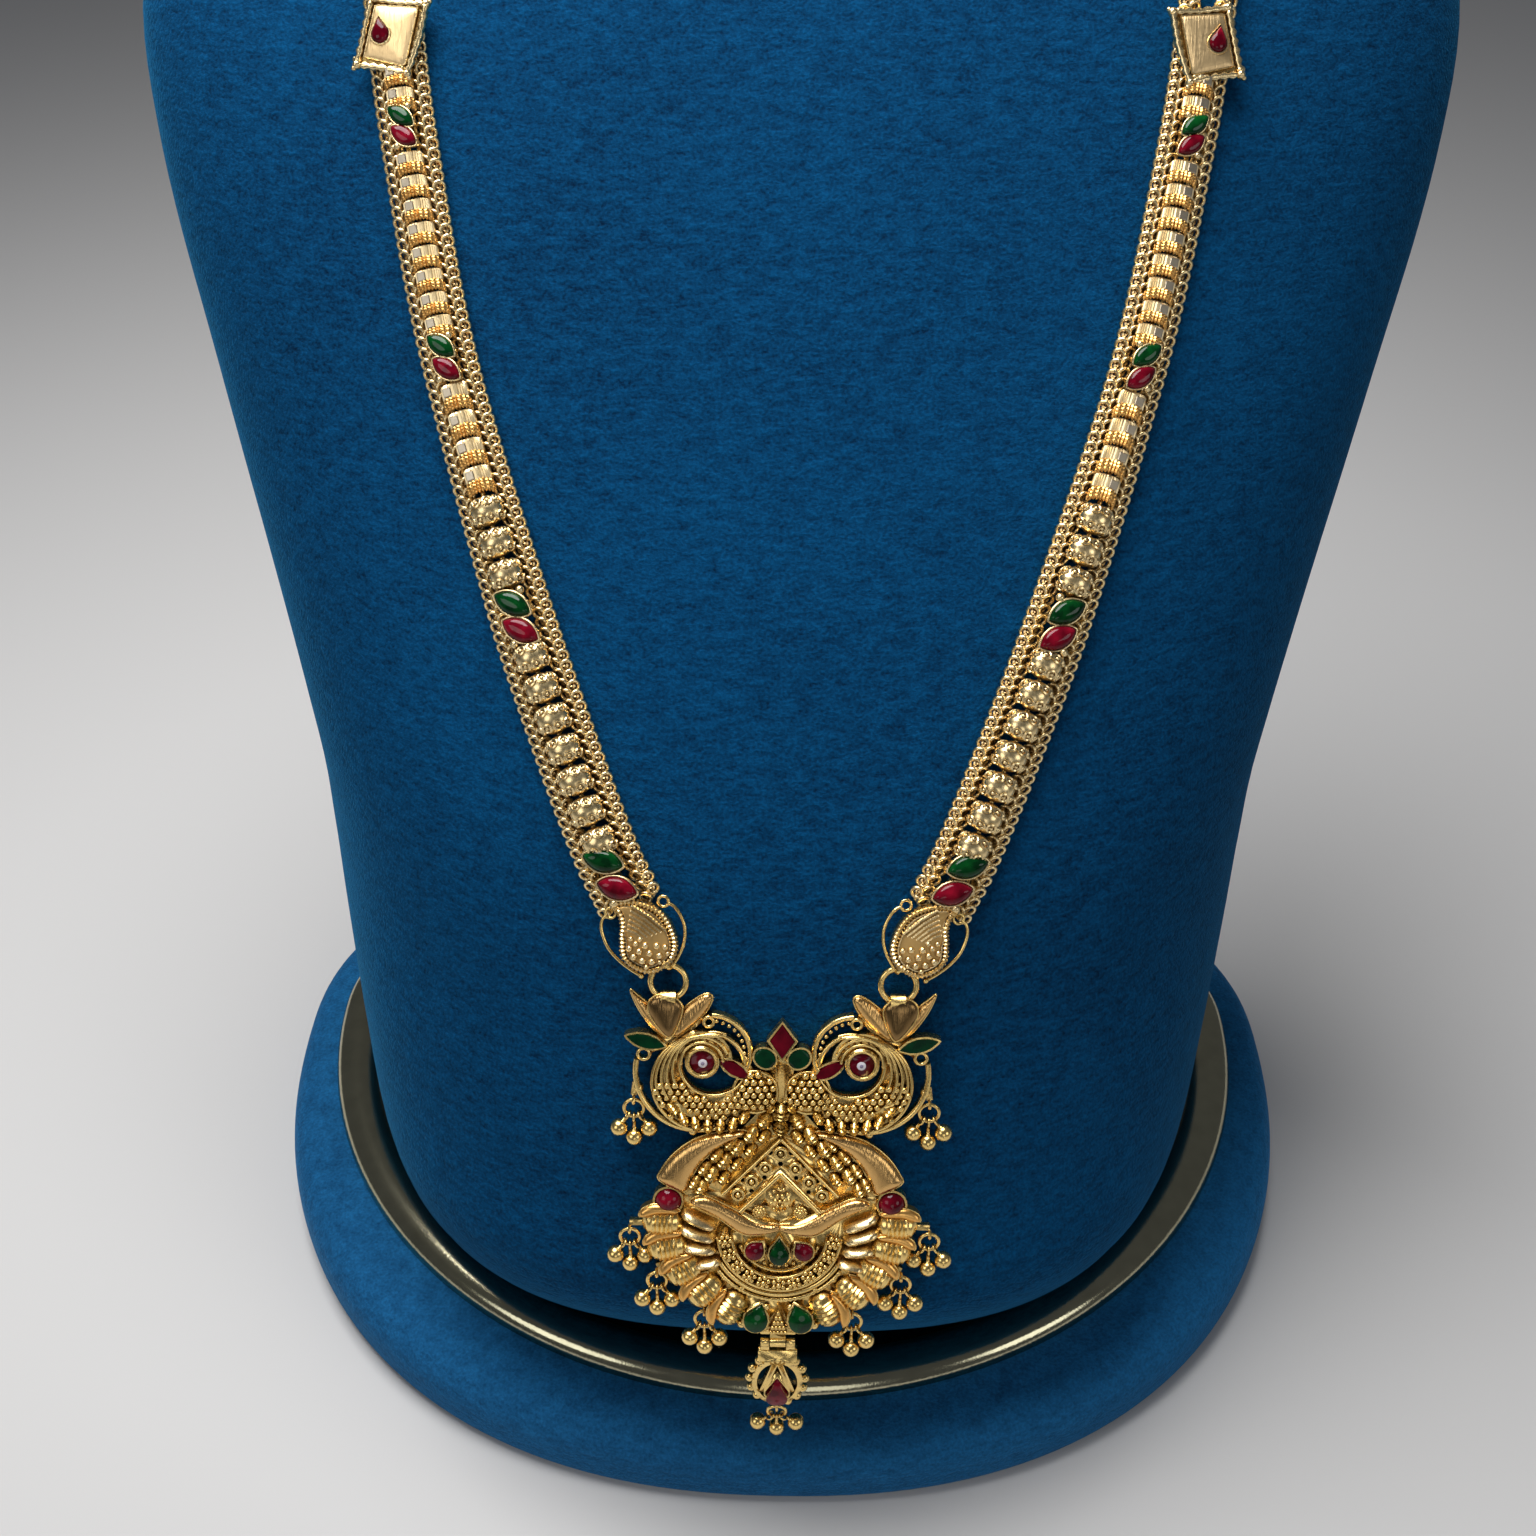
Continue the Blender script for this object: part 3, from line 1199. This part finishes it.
class NECKLACE_OT_brushed(bpy.types.Operator):
    """Brushed petals, swooshes, crown petals and cups"""

    bl_idname = "necklace.brushed"
    bl_label = "Brushed petals"

    def execute(self, context):
        petals, rims, cups = (bmesh.new() for _ in range(3))
        crown = [
            (17.4, 26.3), (15.2, 27.6), (12.4, 30.6), (11.3, 33.2), (12.6, 33.7), (15.4, 31.8), (17.6, 29),
        ]
        outer_crown = [(18.6, 26.2), (20.8, 27.6), (23.2, 31), (24.5, 34.2), (23.4, 33.4), (20.9, 31)]
        for outline, low, wall, high, spine in (
            (PETAL, 0.9, 0.7, 1.35, PETAL_SPINE),
            (SWOOSH, 1.6, 0.6, 1.15, SWOOSH_SPINE),
            (crown, 0.6, 0.5, 0.8, [(16.6, 27.6), (14.2, 30.3), (12.2, 32.9)]),
            (outer_crown, 0.6, 0.5, 0.7, [(19.4, 27.2), (21.8, 30), (23.8, 33.4)]),
        ):
            line = rounded(outline)
            crowned(petals, line, low, wall, high, spine)
            wire(rims, lifted(line, low + wall), 0.2, closed=True)
        cup = rounded([
            (18.1, 26.6), (16.9, 28.6), (16.1, 31.6), (17.2, 33.3),
            (19.3, 33.9), (21.2, 33), (21.5, 30.8), (19.8, 28),
        ])
        crowned(cups, cup, 0.9, 1.2, 0.9, [(18.4, 28.4), (18.8, 31.4)])
        wire(rims, lifted(cup, 2.0), 0.22, closed=True)
        pendant_piece("brushed_petals", petals, "brushed", sharp=50)
        pendant_piece("crown_cups", cups, "dark", sharp=50)
        pendant_piece("petal_rims", rims)
        return {"FINISHED"}


class NECKLACE_OT_wires(bpy.types.Operator):
    """Scrolls, neck ridges, chevrons, crescent rims and coiled rosettes"""

    bl_idname = "necklace.wires"
    bl_label = "Wires and rosettes"

    def execute(self, context):
        bm = bmesh.new()
        for centre, radius, start, stop, steps, thick in (
            ((11.6, 23.8), 6.5, 92, 205, 24, 0.42),
            ((11.6, 21.5), 5.6, 108, 186, 24, 0.36),
            ((13.6, 20.4), 10.2, 12, -104, 36, 0.42),
        ):
            wire(bm, arc(centre, radius, start, stop, 1.5, steps), thick, sides=8)
        stamp(bm, ring_shape(0.82, 0.3), moved(11.9, 29.1, 1.5))
        stamp(bm, ring_shape(0.98, 0.3), moved(22.4, 23.4, 1.5))
        for share, start, stop, high, thick in (
            (0.0, 112, -170, 1.7, 0.34),
            (0.25, 108, -30, 2.2, 0.27),
            (0.45, 104, -28, 2.35, 0.27),
            (0.65, 100, -30, 2.3, 0.27),
            (0.85, 94, -34, 2.1, 0.27),
            (1.0, 88, -112, 1.8, 0.34),
        ):
            wire(bm, arc(HOLE_AT.lerp(NECK_AT, share), 5.5 + 2.75 * share, start, stop, high, 32), thick)
        wire(bm, arc(EYE_AT, 2.35, 0, 360, 2.5, 28)[:-1], 0.22, closed=True)
        coil_wire(bm, arc(EYE_AT, 3.4, -8, 178, 2.35), 0.3, 0.5)
        coil_wire(bm, arc(EYE_AT, 4.3, 4, 160, 2.3), 0.34, 0.6)
        wire(bm, arc(BODY_AT, 3.6, 0, 360, 1.7, 30)[:-1], 0.3, closed=True)
        wire(bm, [(0, 8.9, 1.75), (9.5, -1.2, 1.75)], 0.34, sides=8)
        wire(bm, [(0, 2.85, 2.2), (6.55, -3.95, 2.2)], 0.42, sides=8)
        pendant_piece("pendant_wires", bm)
        crescent = bmesh.new()
        for radius, half_turn, high, steps, thick in (
            (10.2, 85, 2.15, 40, 0.34),
            (7.95, 83, 2.15, 36, 0.3),
            (11.2, 64, 1.7, 40, 0.5),
        ):
            line = arc(CRESCENT_AT, radius, 270 - half_turn, 270 + half_turn, high, steps)
            wire(crescent, line, thick, sides=8)
        coil_wire(crescent, arc(CRESCENT_AT, 6.9, 200, 340, 1.6, 36), 0.36, 0.62)
        coil_wire(crescent, arc(CRESCENT_AT, 12.3, 214, 326, 1.6, 40), 0.5, 0.8)
        finish_piece("crescent_wires", crescent, "gold", PENDANT)
        rosettes = bmesh.new()
        for u, v in ROSETTES:
            coil_wire(rosettes, arc((u, v), 0.92, 0, 360, 2.3, 24)[:-1], 0.38, 0.46, closed=True, depth=0.35)
            stamp(rosettes, grain_shape(0.5, 10, 6), moved(u, v, 2.4))
        pendant_piece("rosettes", rosettes)
        return {"FINISHED"}


class NECKLACE_OT_granulation(bpy.types.Operator):
    """Grains on the peacocks' bodies, in the crescent, the middle panel and the small triangle"""

    bl_idname = "necklace.granulation"
    bl_label = "Granulation"

    def execute(self, context):
        size = 1.5 * context.scene.necklace_sizes.grain
        self.grain = grain_shape(1)
        pendant_piece("peacock_grains", self.peacock(size))
        finish_piece("middle_grains", self.middle(), "gold", PENDANT)
        return {"FINISHED"}

    def add(self, bm, u, v, high, size):
        stamp(bm, self.grain, moved(u, v, high) @ Matrix.Scale(size, 4))

    def peacock(self, size):
        """Rows of grains on the neck and the body, and single ones beside the scrolls."""
        bm = bmesh.new()
        chance = random.Random(11)
        step = 1.95 * size
        for row in range(-10, 11):
            for column in range(-12, 13):
                u = 10 + step * (column + 0.5 * (row % 2)) + chance.uniform(-0.08, 0.08)
                v = 16 + 0.87 * step * row + chance.uniform(-0.08, 0.08)
                point = Vector((u, v))
                from_body = (point - BODY_AT).length
                on_body = from_body < 3.3
                clear = all((point - Vector(row[:2])).length > 1.45 for row in BODY_ROWS)
                if not (on_body or (point - NECK_AT).length < 7.9) or not clear:
                    continue
                if (point - HOLE_AT).length < 6.0 or v > 18.8 + (u < 7) * 2:
                    continue
                high = 1.6 + 1.3 * math.sqrt(max(1 - (from_body / 3.4) ** 2, 0)) if on_body else 2.0
                self.add(bm, u, v, high, size * chance.uniform(0.85, 1.1))
        for u, v in around((11.6, 23.8), 5.5, [100 + 11.5 * i for i in range(9)]):
            self.add(bm, u, v, 1.35, 0.4)
        for u, v, high, radius in (
            (23.3, 17.3, 1.0, 0.85), (14.4, 9.9, 1.0, 0.9), (6.1, -25.1, 1.0, 0.9), (18.4, 0.4, 1.7, 0.5),
            (17.0, 24.6, 1.9, 0.55), (2.0, -21.6, 1.6, 0.7), (6.1, -18.2, 1.6, 0.55), (9.2, -16.4, 1.6, 0.5),
        ):
            self.add(bm, u, v, high, radius)
        return bm

    def middle(self):
        """Flowers of grains in the crescent, domes on the panel, the triangle and a low arc."""
        bm = bmesh.new()
        for turn in [188 + 16.4 * i for i in range(11)]:
            ((x, y),) = around(CRESCENT_AT, 9.05, [turn])
            self.add(bm, x, y, 2.7, 0.5)
            for u, v in around((x, y), 0.85, [60 * k + turn for k in range(6)]):
                self.add(bm, u, v, 2.35, 0.46)
        for x, y, across, up, high in (
            (0, -1.8, 1.5, 2.1, 2.1), (3.4, -4.1, 0.9, 0.9, 1.9), (-3.4, -4.1, 0.9, 0.9, 1.9),
        ):
            for ring, number in ((0, 1), (0.5, 6), (1, 11)):
                for u, v in around((0, 0), ring, [360 * k / number for k in range(number)]):
                    self.add(bm, x + across * u, y + up * v, high + 0.35 * (1 - ring), 0.36)
        for row in range(5):
            for k in range(row + 1):
                self.add(bm, 0.62 * (k - row / 2), -22.6 - 0.9 * row, 1.95, 0.36)
        for u, v in around(CRESCENT_AT, 6.2, [212 + 11.6 * k for k in range(11)]):
            self.add(bm, u, v, 1.2, 0.42)
        return bm


class NECKLACE_OT_back_chain(bpy.types.Operator):
    """Plain chain behind the neck, of round links"""

    bl_idname = "necklace.back_chain"
    bl_label = "Back chain"

    def execute(self, context):
        link = ring_shape(0.95, 0.25, sides=5, steps=12)
        stop = math.degrees(math.acos((6.6 / smooth(273, BUST_ROWS, 1)) ** (BUST_ROUND / 2)))
        start = BACK_ROWS[0][0]
        turns = [start + (stop - start) * i / 200 for i in range(201)]
        line = [back_place(a).translation for a in turns]
        even = spread([(*p,) for p in line], 1.15)
        bm = bmesh.new()
        k = 0
        for i, point in enumerate(even):
            while k < len(line) - 1 and (line[k + 1] - point).length < (line[k] - point).length:
                k += 1
            place = back_place(turns[k])
            place.translation = point
            lean = turned(45 if i % 2 else -45, "Y")
            stamp(bm, link, place @ lean @ sized(0.9, 1.0, 1))
        side_pieces("back_chain_links", bm, "gold", ["back_chain"])
        return {"FINISHED"}


class NECKLACE_OT_stage(bpy.types.Operator):
    """Pale floor, soft lights and the camera"""

    bl_idname = "necklace.stage"
    bl_label = "Stage"

    def execute(self, context):
        scene = context.scene
        scene.view_settings.view_transform = "Standard"
        bm = bmesh.new()
        bmesh.ops.create_grid(bm, x_segments=1, y_segments=1, size=2.5)
        floor_mesh = as_mesh(bm, "floor")
        made, _, shader = new_material("Floor")
        shader.inputs["Base Color"].default_value = (0.62, 0.61, 0.6, 1)
        shader.inputs["Roughness"].default_value = 0.8
        floor_mesh.materials.append(made)
        floor = self.added(scene, "floor", floor_mesh)
        world = bpy.data.worlds.new("Studio")
        world.use_nodes = True
        sky = world.node_tree.nodes["Background"]
        sky.inputs["Color"].default_value = (0.85, 0.9, 1.0, 1)
        sky.inputs["Strength"].default_value = 0.1
        scene.world = world
        for name, place, target, size, power in LIGHTS:
            lamp = bpy.data.lights.new(name, "AREA")
            lamp.shape = "DISK"
            lamp.size = size
            lamp.energy = power
            holder = self.added(scene, name, lamp)
            holder.location = place
            holder.rotation_euler = (Vector(target) - Vector(place)).to_track_quat("-Z", "Y").to_euler()
        camera = bpy.data.cameras.new("camera")
        camera.sensor_width = 36
        camera.lens = camera.sensor_width * CAMERA_FOCAL / CAMERA_FRAME
        camera.clip_start = 0.01
        pitch, roll, yaw = (math.radians(a) for a in CAMERA_TURN)
        ahead = Vector((math.sin(yaw) * math.cos(pitch), math.cos(yaw) * math.cos(pitch), -math.sin(pitch)))
        side = Vector((math.cos(yaw), -math.sin(yaw), 0))
        right = side * math.cos(roll) + side.cross(ahead) * math.sin(roll)
        holder = self.added(scene, "camera", camera)
        holder.matrix_world = axes(CAMERA_AT * MM, right, right.cross(ahead), -ahead)
        scene.camera = holder
        return {"FINISHED"}

    def added(self, scene, name, data):
        made = bpy.data.objects.new(name, data)
        scene.collection.objects.link(made)
        return made


class NECKLACE_PT_panel(bpy.types.Panel):
    """Sizes, colours and pieces of the necklace"""

    bl_idname = "NECKLACE_PT_panel"
    bl_label = "Long necklace"
    bl_space_type = "VIEW_3D"
    bl_region_type = "UI"
    bl_category = "Necklace"

    def draw(self, context):
        layout = self.layout
        for settings in (context.scene.necklace_sizes, context.scene.necklace_tones):
            for name in settings.bl_rna.properties.keys():
                if name not in ("rna_type", "name"):
                    layout.prop(settings, name)
        for operator in OPERATORS:
            layout.operator(operator.bl_idname)


OPERATORS = (
    NECKLACE_OT_finishes,
    NECKLACE_OT_stand,
    NECKLACE_OT_settings,
    NECKLACE_OT_stones,
    NECKLACE_OT_side_chains,
    NECKLACE_OT_beads,
    NECKLACE_OT_star_plates,
    NECKLACE_OT_paisleys,
    NECKLACE_OT_fan,
    NECKLACE_OT_brushed,
    NECKLACE_OT_wires,
    NECKLACE_OT_granulation,
    NECKLACE_OT_back_chain,
    NECKLACE_OT_stage,
)
CLASSES = (NecklaceTones, NecklaceSizes, *OPERATORS, NECKLACE_PT_panel)


def register():
    for cls in CLASSES:
        bpy.utils.register_class(cls)
    bpy.types.Scene.necklace_tones = PointerProperty(type=NecklaceTones)
    bpy.types.Scene.necklace_sizes = PointerProperty(type=NecklaceSizes)


def unregister():
    del bpy.types.Scene.necklace_sizes
    del bpy.types.Scene.necklace_tones
    for cls in reversed(CLASSES):
        bpy.utils.unregister_class(cls)


def main():
    register()
    for operator in OPERATORS:
        group, name = operator.bl_idname.split(".")
        getattr(getattr(bpy.ops, group), name)()


if __name__ == "__main__":
    main()
